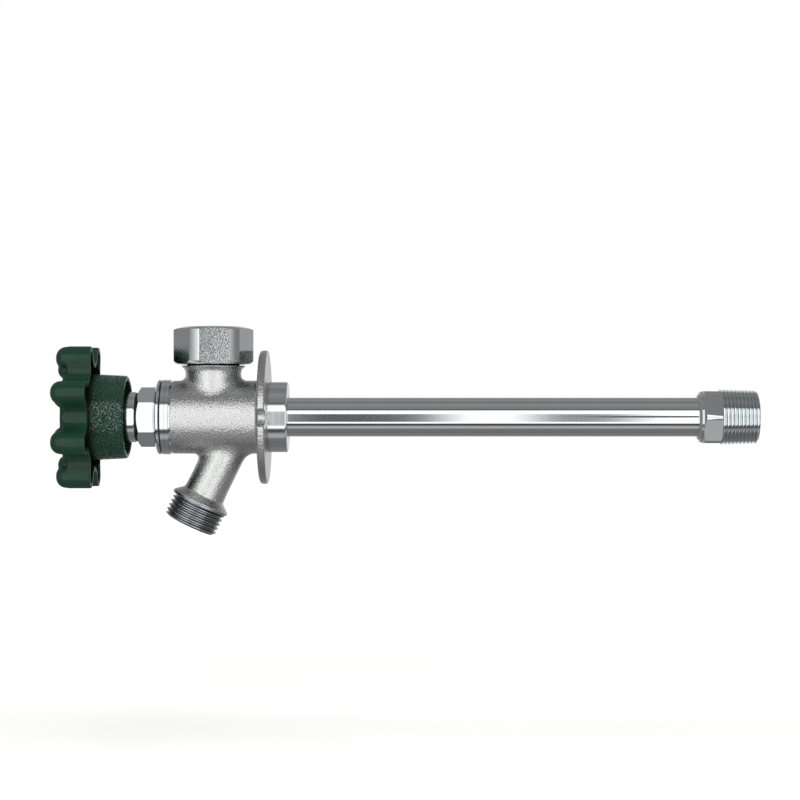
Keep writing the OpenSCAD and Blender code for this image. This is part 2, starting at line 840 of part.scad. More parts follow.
valve_body();
supply_tube();
inlet_fitting();
bonnet();
bonnet_gasket();
packing_nut();
packing_gland();
packing();
spindle_o_ring();
spindle();
spindle_rod();
rod_end();
rod_guide();
washer_holder();
swivel_ring();
seat_washer();
washer_screw();
handle();
handle_lock_washer();
handle_screw();
breaker_seat();
breaker_gasket();
float();
float_seal();
vacuum_breaker_cap();
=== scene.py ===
# Frost free sillcock: a wall tap on a long supply tube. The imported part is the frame, and
# the pieces that show are remade here with their threads, chamfers and cast skins.
# Sizes are in mm and turned to metres with mm.

import json
import math

import bpy
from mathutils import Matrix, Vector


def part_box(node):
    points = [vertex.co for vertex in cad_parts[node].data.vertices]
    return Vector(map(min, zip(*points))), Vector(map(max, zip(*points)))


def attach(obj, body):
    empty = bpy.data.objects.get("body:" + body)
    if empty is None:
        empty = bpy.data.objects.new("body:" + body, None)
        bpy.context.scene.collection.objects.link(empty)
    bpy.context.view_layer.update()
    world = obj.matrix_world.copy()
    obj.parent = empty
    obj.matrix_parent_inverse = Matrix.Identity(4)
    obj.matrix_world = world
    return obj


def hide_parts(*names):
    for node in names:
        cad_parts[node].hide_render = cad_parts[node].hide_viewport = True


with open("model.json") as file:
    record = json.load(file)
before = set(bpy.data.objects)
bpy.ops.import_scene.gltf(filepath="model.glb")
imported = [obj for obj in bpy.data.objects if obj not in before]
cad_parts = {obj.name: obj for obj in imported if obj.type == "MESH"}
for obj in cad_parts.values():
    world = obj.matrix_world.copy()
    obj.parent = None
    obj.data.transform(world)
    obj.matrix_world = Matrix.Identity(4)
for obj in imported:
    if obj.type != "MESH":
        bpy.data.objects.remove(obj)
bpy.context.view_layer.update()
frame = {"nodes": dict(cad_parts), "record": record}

mm = 0.001
weldReach = 0.004 * mm  # vertices nearer than this become one
hairline = 0.001 * mm
mounts = {mount["name"]: mount for mount in frame["record"]["mounts"]}


# Small helpers

def nodeBox(name):
    low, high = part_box(name)
    return [value / mm for value in low], [value / mm for value in high]


def selectOnly(piece):
    bpy.ops.object.select_all(action="DESELECT")
    piece.select_set(True)
    bpy.context.view_layer.objects.active = piece


def applyModifier(piece, kind, **settings):
    selectOnly(piece)
    modifier = piece.modifiers.new(kind.lower(), kind)
    for setting, value in settings.items():
        setattr(modifier, setting, value)
    bpy.ops.object.modifier_apply(modifier=modifier.name)


# Joins, cuts or crosses a piece with another, which is used up
def combine(piece, other, operation):
    applyModifier(piece, "BOOLEAN", object=other, operation=operation, solver="EXACT")
    bpy.data.objects.remove(other)
    return piece


# Draws a line of (station, radius) points above the X axis, by extruding one vertex
def drawProfile(name, points):
    bpy.ops.object.select_all(action="DESELECT")
    bpy.ops.mesh.primitive_plane_add(size=2 * mm)
    piece = bpy.context.object
    piece.name = name
    bpy.ops.object.mode_set(mode="EDIT")
    bpy.ops.mesh.merge(type="CENTER")
    station, radius = points[0]
    bpy.ops.transform.translate(value=(station * mm, 0, radius * mm))
    for nextStation, nextRadius in points[1:]:
        stride = ((nextStation - station) * mm, 0, (nextRadius - radius) * mm)
        bpy.ops.mesh.extrude_vertices_move(TRANSFORM_OT_translate={"value": stride})
        station, radius = nextStation, nextRadius
    bpy.ops.mesh.select_all(action="SELECT")
    return piece


# Merges what meets and turns the faces outwards
def closeUp():
    bpy.ops.mesh.select_all(action="SELECT")
    bpy.ops.mesh.remove_doubles(threshold=weldReach)
    bpy.ops.mesh.normals_make_consistent(inside=False)
    bpy.ops.object.mode_set(mode="OBJECT")


# A piece turned on a lathe about the X axis
def turnPiece(name, points, steps=128):
    piece = drawProfile(name, points)
    bpy.ops.mesh.spin(steps=steps, angle=2 * math.pi, center=(0, 0, 0), axis=(1, 0, 0))
    closeUp()
    return piece


# The same from a piece's settings, whose profile counts stations from "start"
def turnFrom(name, cut):
    return turnPiece(name, [(cut["start"] + along, radius) for along, radius in cut["profile"]])


# A plain round bar, used up in filling or cutting another piece
def turnBar(name, start, end, radius, steps=48):
    return turnPiece(name, [(start, 0), (start, radius), (end, radius), (end, 0)], steps)


def cornerRadius(acrossFlats):
    return acrossFlats / 2 / math.cos(math.pi / 6)


# A hexagon bar along X, with its corners towards +Y and -Y at turn 0
def hexBar(name, start, end, acrossFlats, turn=0):
    bpy.ops.object.select_all(action="DESELECT")
    bpy.ops.mesh.primitive_cylinder_add(
        vertices=6, radius=cornerRadius(acrossFlats) * mm, depth=(end - start) * mm,
        location=((start + end) / 2 * mm, 0, 0), rotation=(0, math.pi / 2, 0))
    piece = bpy.context.object
    piece.name = name
    bpy.ops.object.transform_apply()
    return place(piece, turn=turn)


# Turns a piece about its own X axis, leans that axis about Y and moves it into place
def place(piece, turn=0, lean=0, location=(0, 0, 0)):
    selectOnly(piece)
    piece.rotation_euler = (math.radians(turn), math.radians(lean), 0)
    piece.location = [value * mm for value in location]
    bpy.ops.object.transform_apply()
    return piece


# A right-handed thread along X, cut square at both ends
def threadRod(name, cut, start, end, steps=72):
    pitch = cut["pitch"]
    crestRadius = cut["majorDiameter"] / 2
    rootRadius = crestRadius - cut["depth"]
    halfCrest = cut["crestFlat"] / 2
    halfRoot = 0.06 * pitch
    spareTurns = 3
    first = start - 1.503 * pitch  # so that no ring of vertices lies on an end plane
    middle, last = first + pitch / 2, first + pitch
    piece = drawProfile(name, [
        (first, rootRadius), (first + halfRoot, rootRadius), (middle - halfCrest, crestRadius),
        (middle + halfCrest, crestRadius), (last - halfRoot, rootRadius), (last, rootRadius)])
    bpy.ops.object.mode_set(mode="OBJECT")
    applyModifier(piece, "SCREW", axis="X", angle=2 * math.pi, steps=steps, render_steps=steps,
                  iterations=math.ceil((end - start) / pitch) + spareTurns,
                  screw_offset=pitch * mm, use_merge_vertices=False)
    bpy.ops.object.mode_set(mode="EDIT")
    bpy.ops.mesh.select_all(action="SELECT")
    bpy.ops.mesh.remove_doubles(threshold=weldReach)
    for station, side in ((start, "clear_inner"), (end, "clear_outer")):
        bpy.ops.mesh.select_all(action="SELECT")
        bpy.ops.mesh.bisect(plane_co=(station * mm, 0, 0), plane_no=(1, 0, 0), use_fill=True,
                            threshold=hairline, **{side: True})
    closeUp()
    return piece


# A copy of a CAD node that may be reshaped
def copyNode(nodeName, name):
    source = frame["nodes"][nodeName]
    piece = source.copy()
    piece.data = source.data.copy()
    piece.name = name
    piece.parent = None
    bpy.context.collection.objects.link(piece)
    selectOnly(piece)
    bpy.ops.object.mode_set(mode="EDIT")
    bpy.ops.mesh.select_all(action="SELECT")
    bpy.ops.mesh.remove_doubles(threshold=hairline)
    bpy.ops.object.mode_set(mode="OBJECT")
    return piece


# Softens a copied solid into a cast skin: small voxels, then smoothing
def castSkin(piece, skin):
    applyModifier(piece, "REMESH", mode="VOXEL", voxel_size=skin["voxel"] * mm)
    applyModifier(piece, "SMOOTH", factor=0.5, iterations=skin["smoothing"])
    applyModifier(piece, "DECIMATE", ratio=skin["keepFaces"])


# Rounds the edges where faces meet at 30 degrees or more
def breakEdges(piece, width, segments=2):
    applyModifier(piece, "BEVEL", width=width * mm, segments=segments, limit_method="ANGLE",
                  angle_limit=math.radians(30), harden_normals=False)


# Smooth shading that keeps the edges above the angle sharp
def shadeSmooth(piece, angle=38):
    selectOnly(piece)
    bpy.ops.object.shade_smooth_by_angle(angle=math.radians(angle))


# Lets the large flats keep their own normal, so that a mirror finish stays flat on them
def flattenShading(piece, angle=38):
    shadeSmooth(piece, angle)
    applyModifier(piece, "WEIGHTED_NORMAL", keep_sharp=True, weight=50)


def setMaterial(piece, material):
    piece.data.materials.clear()
    piece.data.materials.append(material)


# The finished piece moves with its body and stands for its CAD nodes
def finishPiece(piece, material, body, slotName, *nodes):
    setMaterial(piece, material)
    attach(piece, body)
    if nodes:
        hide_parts(*nodes)


# Materials

def hexColour(text):
    channels = [int(text[i:i + 2], 16) / 255 for i in (1, 3, 5)]
    linear = [c / 12.92 if c <= 0.04045 else ((c + 0.055) / 1.055) ** 2.4 for c in channels]
    return (*linear, 1)


def grey(level):
    return (level, level, level, 1)


def addNode(tree, kind, values=None, links=None, **settings):
    node = tree.nodes.new(kind)
    for setting, value in settings.items():
        setattr(node, setting, value)
    for socket, value in (values or {}).items():
        node.inputs[socket].default_value = value
    for socket, source in (links or {}).items():
        tree.links.new(source, node.inputs[socket])
    return node


def startMaterial(name, **values):
    material = bpy.data.materials.new(name)
    material.use_nodes = True
    tree = material.node_tree
    shader = tree.nodes["Principled BSDF"]
    for socket, value in values.items():
        shader.inputs[socket.replace("_", " ")].default_value = value
    surface = addNode(tree, "ShaderNodeTexCoord").outputs["Object"]
    return material, tree, shader, surface


# Grain of a given size in mm
def addGrain(tree, surface, size, detail=2):
    return addNode(tree, "ShaderNodeTexNoise", {"Scale": 1 / (size * mm), "Detail": detail},
                   {"Vector": surface}).outputs["Fac"]


# Turns a height into relief of a given depth in mm, on top of the relief below
def addBump(tree, height, depth, below=None):
    links = {"Height": height}
    if below:
        links["Normal"] = below
    return addNode(tree, "ShaderNodeBump", {"Strength": 1, "Distance": depth * mm},
                   links).outputs["Normal"]


# Chrome plate over sand-cast brass: the sand's grain shows through as a grey sparkle
def makeCastChrome():
    material, tree, shader, surface = startMaterial(
        "castChromePlate", Metallic=1, Base_Color=hexColour("#c5c6c5"))
    sand = {"grain": 0.72, "grainDepth": 0.22, "pits": 2.2, "pitDepth": 0.09,
            "smoothest": 0.12, "roughest": 0.4}
    grain = addGrain(tree, surface, sand["grain"])
    pits = addGrain(tree, surface, sand["pits"])
    normal = addBump(tree, pits, sand["pitDepth"])
    tree.links.new(addBump(tree, grain, sand["grainDepth"], normal), shader.inputs["Normal"])
    rough = addNode(tree, "ShaderNodeMapRange",
                    {"To Min": sand["smoothest"], "To Max": sand["roughest"]},
                    {"Value": grain})
    tree.links.new(rough.outputs["Result"], shader.inputs["Roughness"])
    return material


# Chrome plate over turned brass: bright, with faint tool rings round the X axis, which are
# drawn coarser than real ones so that they show
def makeTurnedChrome():
    material, tree, shader, surface = startMaterial(
        "turnedChromePlate", Metallic=1, Base_Color=hexColour("#d3d7d9"), Roughness=0.13)
    tool = {"ringSpacing": 2.8274, "ringDepth": 0.0012, "wander": 0.4}
    ringScale = math.pi / 10 / (tool["ringSpacing"] * mm)  # at scale 1 rings are pi / 10 apart
    rings = addNode(tree, "ShaderNodeTexWave", {"Scale": ringScale, "Distortion": tool["wander"]},
                    {"Vector": surface}, wave_type="BANDS", bands_direction="X")
    tree.links.new(addBump(tree, rings.outputs["Fac"], tool["ringDepth"]),
                   shader.inputs["Normal"])
    return material


# Chrome plate over a cut thread, with a greyer colour: painted shade for how dark the thread
# looks
def makeShadedThreadChrome():
    material, tree, shader, surface = startMaterial(
        "shadedThreadChromePlate", Metallic=1, Base_Color=hexColour("#9b9fa1"), Roughness=0.22)
    chatter = {"grain": 0.9, "depth": 0.16}
    grain = addGrain(tree, surface, chatter["grain"])
    tree.links.new(addBump(tree, grain, chatter["depth"]), shader.inputs["Normal"])
    return material


# Chrome plate over drawn copper tube: a near mirror, with faint lengthwise waves
def makeDrawnChrome():
    material, tree, shader, surface = startMaterial(
        "drawnChromePlate", Metallic=1, Base_Color=hexColour("#d9dcde"), Roughness=0.075)
    draw = {"waveLength": 60, "waveWidth": 2.5, "waveDepth": 0.004}
    stretched = addNode(tree, "ShaderNodeMapping",
                        {"Scale": (draw["waveWidth"] / draw["waveLength"], 1, 1)},
                        {"Vector": surface})
    wave = addGrain(tree, stretched.outputs["Vector"], draw["waveWidth"], detail=1)
    tree.links.new(addBump(tree, wave, draw["waveDepth"]), shader.inputs["Normal"])
    return material


# Chrome plate on a forged hexagon: bright with shallow hammer scale
def makeForgedChrome():
    material, tree, shader, surface = startMaterial(
        "forgedChromePlate", Metallic=1, Base_Color=hexColour("#c8cbcc"), Roughness=0.1)
    scale = {"patch": 3.5, "patchDepth": 0.01, "grain": 0.8, "grainDepth": 0.045}
    patches = addGrain(tree, surface, scale["patch"], detail=3)
    grain = addGrain(tree, surface, scale["grain"])
    normal = addBump(tree, patches, scale["patchDepth"])
    tree.links.new(addBump(tree, grain, scale["grainDepth"], normal), shader.inputs["Normal"])
    return material


# Stoved enamel on a cast handle: dark green, satin, with a soft orange peel, a paler
#  painted highlight on the pointy ridges and painted shade in the deep hollows. The skirt is
#  less handled, so there it keeps a speckled gloss. The painted highlight is limited by
#  pointiness, the painted shade by the share of open space around the hollows, and the specks by
#  noise
def makeGreenEnamel():
    material, tree, shader, surface = startMaterial(
        "greenStovedEnamel", Roughness=0.5, Specular_IOR_Level=0.1, Coat_Roughness=0.08,
        Coat_IOR=1.9)
    paint = {"full": "#14382b", "thin": "#1d4334", "cloud": 9,
             "cast": 4.5, "castDepth": 0.12, "peel": 1.1, "peelDepth": 0.12,
             "ridgeHighlight": "#3f6152", "highlightStart": 0.53, "highlightFull": 0.6, "highlightMost": 0.55,
             "hollowShade": "#060d0a", "hollowReach": 16, "hollowStart": 0.76, "hollowFull": 0.5,
             "hollowMost": 0.92,
             "gloss": 0.8, "glossDepth": 0.14, "rimGloss": 0.16, "rimDepth": 17.6,
             "speck": 0.75, "speckStart": 0.5, "speckFull": 0.58}

    peel = addGrain(tree, surface, paint["peel"])
    cast = addGrain(tree, surface, paint["cast"])
    gloss = addGrain(tree, surface, paint["gloss"], detail=1)
    normal = addBump(tree, cast, paint["castDepth"])
    tree.links.new(addBump(tree, peel, paint["peelDepth"], normal), shader.inputs["Normal"])
    tree.links.new(addBump(tree, gloss, paint["glossDepth"], normal),
                   shader.inputs["Coat Normal"])

    coats = addNode(tree, "ShaderNodeMixRGB",
                    {"Color1": hexColour(paint["full"]), "Color2": hexColour(paint["thin"])},
                    {"Fac": addGrain(tree, surface, paint["cloud"])})
    ridges = addNode(tree, "ShaderNodeNewGeometry")
    # painted highlight: the pointy ridges are given a paler green
    ridgeHighlightMask = addNode(tree, "ShaderNodeMapRange", {
        "From Min": paint["highlightStart"], "From Max": paint["highlightFull"],
        "To Max": paint["highlightMost"]}, {"Value": ridges.outputs["Pointiness"]})
    ridgeHighlight = addNode(tree, "ShaderNodeMixRGB", {"Color2": hexColour(paint["ridgeHighlight"])},
                   {"Fac": ridgeHighlightMask.outputs["Result"], "Color1": coats.outputs["Color"]})
    # painted shade: where little open space is around, the hollows are darkened towards
    # near-black
    hollows = addNode(tree, "ShaderNodeAmbientOcclusion",
                      {"Distance": paint["hollowReach"] * mm}, only_local=True)
    depth = addNode(tree, "ShaderNodeMapRange", {
        "From Min": paint["hollowStart"], "From Max": paint["hollowFull"],
        "To Max": paint["hollowMost"]}, {"Value": hollows.outputs["AO"]})
    colour = addNode(tree, "ShaderNodeMixRGB", {"Color2": hexColour(paint["hollowShade"])},
                     {"Fac": depth.outputs["Result"], "Color1": ridgeHighlight.outputs["Color"]})
    tree.links.new(colour.outputs["Color"], shader.inputs["Base Color"])

    specks = addNode(tree, "ShaderNodeMapRange", {
        "From Min": paint["speckStart"], "From Max": paint["speckFull"]},
        {"Value": addGrain(tree, surface, paint["speck"], detail=3)})
    axes = addNode(tree, "ShaderNodeSeparateXYZ", links={0: surface})
    skirtStart = nodeBox("handle")[0][0] + paint["rimDepth"]
    skirt = addNode(tree, "ShaderNodeMapRange", {
        "From Min": skirtStart * mm, "From Max": (skirtStart + 1) * mm},
        {"Value": axes.outputs["X"]})
    shine = addNode(tree, "ShaderNodeMixRGB", {"Color1": grey(paint["rimGloss"])},
                    {"Fac": skirt.outputs["Result"], "Color2": specks.outputs["Result"]})
    tree.links.new(shine.outputs["Color"], shader.inputs["Coat Weight"])
    return material


# A plain material with a fine grain, for the pieces that sit inside
def makePlain(name, colour, roughness, grainSize, grainDepth, metallic=0):
    material, tree, shader, surface = startMaterial(
        name, Base_Color=hexColour(colour), Roughness=roughness, Metallic=metallic)
    grain = addGrain(tree, surface, grainSize)
    tree.links.new(addBump(tree, grain, grainDepth), shader.inputs["Normal"])
    return material


castChrome = makeCastChrome()
turnedChrome = makeTurnedChrome()
shadedThreadChrome = makeShadedThreadChrome()
drawnChrome = makeDrawnChrome()
forgedChrome = makeForgedChrome()
greenEnamel = makeGreenEnamel()
# Machined yellow brass: warm, half bright
turnedBrass = makePlain("turnedBrass", "#c9a24e", 0.25, 0.4, 0.002, metallic=1)
# Near-black brass with a dull sheen: painted shade for the gap behind the packing nut
gapShadeBrass = makePlain("gapShadeBrass", "#0c0b09", 0.5, 0.5, 0.01)
# Moulded nitrile rubber: matte near-black
mouldedRubber = makePlain("mouldedRubber", "#222326", 0.7, 0.5, 0.01)
# Pressed vulcanised fibre: dull near-black
pressedFibre = makePlain("pressedFibre", "#33302d", 0.8, 0.3, 0.015)
# Graphited yarn packing: dark grey with a faint sheen
graphiteYarn = makePlain("graphiteYarn", "#3a3b3e", 0.55, 0.6, 0.05, metallic=0.2)
# Moulded acetal: off-white and slightly glossy
mouldedAcetal = makePlain("mouldedAcetal", "#dad8ce", 0.4, 1.5, 0.003)
# Stainless steel: plain bright grey
stainlessSteel = makePlain("stainlessSteel", "#b9bdc0", 0.24, 0.5, 0.002, metallic=1)
print("materials made")


# Valve body: the casting, without the turned ring, the collar and the threaded end, which
# are pieces of their own

capLow, capHigh = nodeBox("vacuum_breaker_cap")
neckX = (capLow[0] + capHigh[0]) / 2
outletMount = mounts["hose_outlet"]
spout = {"origin": (-13, 0, 0), "shoulder": 46.25, "end": 58.5,
         "lean": math.degrees(math.atan2(-outletMount["axis"][2], outletMount["axis"][0]))}

bodyCast = {
    "skin": {"voxel": 0.42, "smoothing": 7, "keepFaces": 0.75},
    "front": -51.5, "ringEnd": -46.9, "flangeRear": 0.5, "collarEnd": 9.8,
    "chamberPlug": 13.9, "neckPlug": 11.5, "neckStart": 2, "neckTop": 34.6,
    "cutterRadius": 25, "cutterPast": 5,
}


def buildBodyCasting(cast):
    casting = copyNode("valve_body", "bodyCasting")
    barrelPlug = turnBar("barrelPlug", cast["front"] - 1, cast["collarEnd"] + 1,
                         cast["chamberPlug"])
    combine(casting, barrelPlug, "UNION")
    neckPlug = turnBar("neckPlug", cast["neckStart"], cast["neckTop"], cast["neckPlug"])
    combine(casting, place(neckPlug, lean=-90, location=(neckX, 0, 0)), "UNION")
    radius, past = cast["cutterRadius"], cast["cutterPast"]
    ringCutter = turnBar("ringCutter", cast["front"] - past, cast["ringEnd"], radius)
    combine(casting, ringCutter, "DIFFERENCE")
    collarCutter = turnBar("collarCutter", cast["flangeRear"], cast["collarEnd"] + past, radius)
    combine(casting, collarCutter, "DIFFERENCE")
    endCutter = turnBar("endCutter", spout["shoulder"], spout["end"] + past, radius)
    place(endCutter, lean=spout["lean"], location=spout["origin"])
    combine(casting, endCutter, "DIFFERENCE")
    castSkin(casting, cast["skin"])
    shadeSmooth(casting, angle=60)
    finishPiece(casting, castChrome, "valve", "cast_chrome", "valve_body")


buildBodyCasting(bodyCast)
print("body casting made")

# The turned ring at the front, with a line cut round it, and the collar behind the flange
ringCut = {"start": -51.5, "profile": [
    (0, 13.9), (0, 18), (0.3, 18.3), (2.1, 18.3), (2.25, 18.12), (2.4, 18.3), (4.1, 18.3),
    (4.3, 17.5), (4.7, 17.4), (4.95, 17.75), (6.1, 17.3), (6.1, 13.9), (0, 13.9)]}
collarCut = {"start": -1, "profile": [
    (0, 9.575), (0, 17.25), (10, 17.25), (10.55, 17), (10.8, 16.45), (10.8, 10.475),
    (9.9, 9.575), (0, 9.575)]}


def buildBodyRings(ringCut, collarCut):
    for name, cut in (("bodyRing", ringCut), ("wallCollar", collarCut)):
        ring = turnFrom(name, cut)
        flattenShading(ring, angle=20)
        finishPiece(ring, turnedChrome, "valve", "cast_chrome")


buildBodyRings(ringCut, collarCut)

# The end of the spout, with a 3/4-11.5 NH hose thread. Its stations run down the spout
outletCut = {
    "thread": {"majorDiameter": outletMount["dims"]["r_mm"] * 2, "pitch": 2.209,
               "depth": 1.3, "crestFlat": 0.4},
    "leadIn": 1.1, "overlap": 0.5, "skim": 0.1,
    "shoulder": {"start": 44.55, "profile": [
        (0, 0), (0, 12.9), (1.2, 14.1), (1.55, 14.35), (2.3, 14.4), (2.6, 14.1), (2.6, 0)]},
    "bore": {"start": 40.75, "profile": [
        (0, 0), (0, 6.8), (9.25, 6.8), (11.75, 9.3), (17.25, 9.3), (18.75, 10.5), (18.75, 0)]},
}


def buildOutlet(cut):
    thread, skim = cut["thread"], cut["skim"]
    start, end = spout["shoulder"] - cut["overlap"], spout["end"]
    radius = thread["majorDiameter"] / 2
    root = radius - thread["depth"]
    outlet = threadRod("hoseThread", thread, start, end)
    envelope = turnPiece("outletEnvelope", [
        (start - 1, 0), (start - 1, radius + skim), (end - cut["leadIn"], radius + skim),
        (end - skim, root - 2 * skim), (end - skim, 0)])
    combine(outlet, envelope, "INTERSECT")
    combine(outlet, turnFrom("outletShoulder", cut["shoulder"]), "UNION")
    combine(outlet, turnFrom("outletBore", cut["bore"]), "DIFFERENCE")
    place(outlet, lean=spout["lean"], location=spout["origin"])
    shadeSmooth(outlet, angle=30)
    # painted shade: the hose thread gets the greyer copy of the chrome
    finishPiece(outlet, shadedThreadChrome, "valve", "cast_chrome")


buildOutlet(outletCut)
print("outlet made")


# Bonnet: a hexagon, the flange with its tail and spigot, and the shoulder of the tail, painted
#  near-black as the shade in the gap behind the packing nut

bonnetCut = {"start": -63.8, "end": -54.4, "acrossFlats": 25.4, "edge": 0.25,
             "chamfer": {"start": -63.5, "profile": [
                 (0, 0), (0, 12.2), (1.4, 14.7147), (9.2, 14.9647), (9.2, 0)]}}
flangeCut = {"start": -69, "profile": [
    (0, 4.8), (0, 8.6), (0.4, 9), (5.9, 9), (13.7, 9), (13.7, 13.9), (14.2, 15.2),
    (15.2, 17.7), (15.7, 18.3), (16.7, 18.3), (16.9, 18.1), (16.9, 13.4), (30, 13.4),
    (30, 4.8), (0, 4.8)]}
neckCut = {"start": -64.2, "profile": [(0, 8.8), (0, 11.9), (1, 11.9), (1, 8.8), (0, 8.8)]}


def buildBonnet(cut, flangeCut, neckCut):
    bonnet = hexBar("bonnetHex", cut["start"], cut["end"], cut["acrossFlats"], turn=30)
    breakEdges(bonnet, cut["edge"])
    combine(bonnet, turnFrom("bonnetChamfer", cut["chamfer"]), "INTERSECT")
    flattenShading(bonnet)
    finishPiece(bonnet, turnedChrome, "valve", "polished_chrome", "bonnet")
    flange = turnFrom("bonnetFlange", flangeCut)
    flattenShading(flange, angle=20)
    finishPiece(flange, turnedChrome, "valve", "polished_chrome")
    neck = turnFrom("bonnetNeck", neckCut)
    flattenShading(neck, angle=20)
    # painted shade: the shoulder is near-black for the shade in the gap behind the packing nut
    finishPiece(neck, gapShadeBrass, "valve", "brass")


buildBonnet(bonnetCut, flangeCut, neckCut)

packingNutCut = {"start": -72, "profile": [
    (0, 4.85), (0, 10.85), (0.35, 11.6), (0.8, 12.1), (1.4, 12.35), (7.1, 12.35),
    (7.55, 12.15), (7.7, 11.75), (7.7, 9.05), (2.6, 9.05), (2.6, 4.85), (0, 4.85)]}


def buildPackingNut(cut):
    nut = turnFrom("packingNut", cut)
    flattenShading(nut, angle=20)
    finishPiece(nut, turnedChrome, "valve", "polished_chrome", "packing_nut")


buildPackingNut(packingNutCut)
print("bonnet made")


# Supply tube and inlet

tubeLow, tubeHigh = nodeBox("supply_tube")
tubeCut = {"start": tubeLow[0], "end": tubeHigh[0], "radius": tubeHigh[2], "wall": 1.2,
           "steps": 160}


def buildTube(cut):
    start, end, radius = cut["start"], cut["end"], cut["radius"]
    inside = radius - cut["wall"]
    tube = turnPiece("supplyTube", [
        (start, inside), (start, radius), (end, radius), (end, inside), (start, inside)],
        cut["steps"])
    shadeSmooth(tube)
    finishPiece(tube, drawnChrome, "valve", "polished_chrome", "supply_tube")


buildTube(tubeCut)

inletEnd = nodeBox("inlet_fitting")[1][0]
inletCut = {
    "start": 210, "end": 223.3, "acrossFlats": 25.4, "cornerBevel": 1.6,
    "chamfer": {"start": 211, "profile": [
        (0, 0), (0, 12.1), (1, 12.6), (2.3, 14.7147), (9.2, 14.7147), (10.3, 13.1),
        (10.3, 0)]},
    "cone": {"start": 209.8, "profile": [
        (0, 0), (0, 10.475), (0.3, 10.775), (2, 12.4), (2.6, 12.4), (2.6, 0)]},
    "boreStart": 208.8, "tubeRadius": 9.575, "tubeStop": 216, "seatRadius": 4.75,
    "socketRadius": 7.975, "socketDepth": 12.7, "countersink": 1.2,
}
# 3/4-14 NPT pipe thread, 1 in 16 taper
pipeThread = {"start": 221, "majorDiameter": 27.02, "endDiameter": 25.9, "pitch": 1.814,
              "depth": 1.1, "crestFlat": 0.4, "leadIn": 0.9, "envelopeRadius": 14}


# Cuts the room for the tube, the water way and the solder socket
def boreInlet(piece, cut):
    entry, stop, socket = cut["boreStart"], cut["tubeStop"], inletEnd - cut["socketDepth"]
    bore = turnPiece("inletBore", [
        (entry, 0), (entry, cut["tubeRadius"]), (stop, cut["tubeRadius"]),
        (stop, cut["seatRadius"]), (socket, cut["seatRadius"]), (socket, cut["socketRadius"]),
        (inletEnd - 0.5, cut["socketRadius"]),
        (inletEnd + 1, cut["socketRadius"] + cut["countersink"]), (inletEnd + 1, 0)])
    return combine(piece, bore, "DIFFERENCE")


def buildInletHex(cut):
    inlet = hexBar("inletHex", cut["start"], cut["end"], cut["acrossFlats"])
    breakEdges(inlet, cut["cornerBevel"], segments=3)
    combine(inlet, turnFrom("inletChamfer", cut["chamfer"]), "INTERSECT")
    combine(inlet, turnFrom("inletCone", cut["cone"]), "UNION")
    flattenShading(boreInlet(inlet, cut), angle=25)
    finishPiece(inlet, turnedChrome, "valve", "polished_chrome", "inlet_fitting")


def buildInletThread(cut, thread):
    start = thread["start"]
    screwed = threadRod("inletThread", thread, 0, inletEnd - start + 1)
    applyModifier(screwed, "SIMPLE_DEFORM", deform_method="TAPER", deform_axis="X",
                  factor=thread["endDiameter"] / thread["majorDiameter"] - 1)
    place(screwed, location=(start, 0, 0))
    endRadius = thread["endDiameter"] / 2
    envelope = turnPiece("pipeEnvelope", [
        (start - 1, 0), (start - 1, thread["envelopeRadius"]),
        (inletEnd - thread["leadIn"], endRadius + 0.2),
        (inletEnd, endRadius - thread["depth"]), (inletEnd, 0)])
    combine(screwed, envelope, "INTERSECT")
    shadeSmooth(boreInlet(screwed, cut), angle=30)
    finishPiece(screwed, turnedChrome, "valve", "polished_chrome")


buildInletHex(inletCut)
buildInletThread(inletCut, pipeThread)
print("tube and inlet made")


# Vacuum breaker cap. The points of its foot and crown are (height from the end, depth in
# from the turned radius)

capCut = {"bottom": capLow[2], "top": capHigh[2], "acrossFlats": 36.4, "turn": 36.6,
          "turnedRadius": 19.55, "bore": 16.2, "roof": 41.6, "cornerBevel": 1.5, "edge": 0.25,
          "spare": 3,
          "foot": [(0, 1.6), (0.5, 0.8), (1.5, 0)],
          "crown": [(1.5, 0), (0.9, 1.4), (0.25, 3.9), (0, 5)]}


def buildCap(cut):
    bottom, top, radius = cut["bottom"], cut["top"], cut["turnedRadius"]
    cap = hexBar("breakerCap", bottom - cut["spare"], top + cut["spare"], cut["acrossFlats"],
                 turn=cut["turn"])
    breakEdges(cap, cut["cornerBevel"], segments=4)
    foot = [(bottom + height, radius - depth) for height, depth in cut["foot"]]
    crown = [(top - height, radius - depth) for height, depth in cut["crown"]]
    chamfer = turnPiece("capChamfer", [(bottom, 0), *foot, *crown, (top, 0)])
    combine(cap, chamfer, "INTERSECT")
    breakEdges(cap, cut["edge"])
    hollow = turnBar("capHollow", bottom - 1, cut["roof"], cut["bore"], steps=128)
    combine(cap, hollow, "DIFFERENCE")
    place(cap, lean=-90, location=(neckX, 0, 0))
    flattenShading(cap)
    finishPiece(cap, forgedChrome, "valve", "polished_chrome", "vacuum_breaker_cap")


buildCap(capCut)
print("cap made")


# Handle

handleSkin = {"voxel": 0.42, "smoothing": 8, "keepFaces": 0.4}


def buildHandle(skin):
    handle = copyNode("handle", "handleCasting")
    castSkin(handle, skin)
    shadeSmooth(handle, angle=70)
    finishPiece(handle, greenEnamel, "spindle_assembly", "green_enamel", "handle")


buildHandle(handleSkin)
print("handle made")


# Pieces that keep their CAD shape, and the nodes that the pieces above stand for

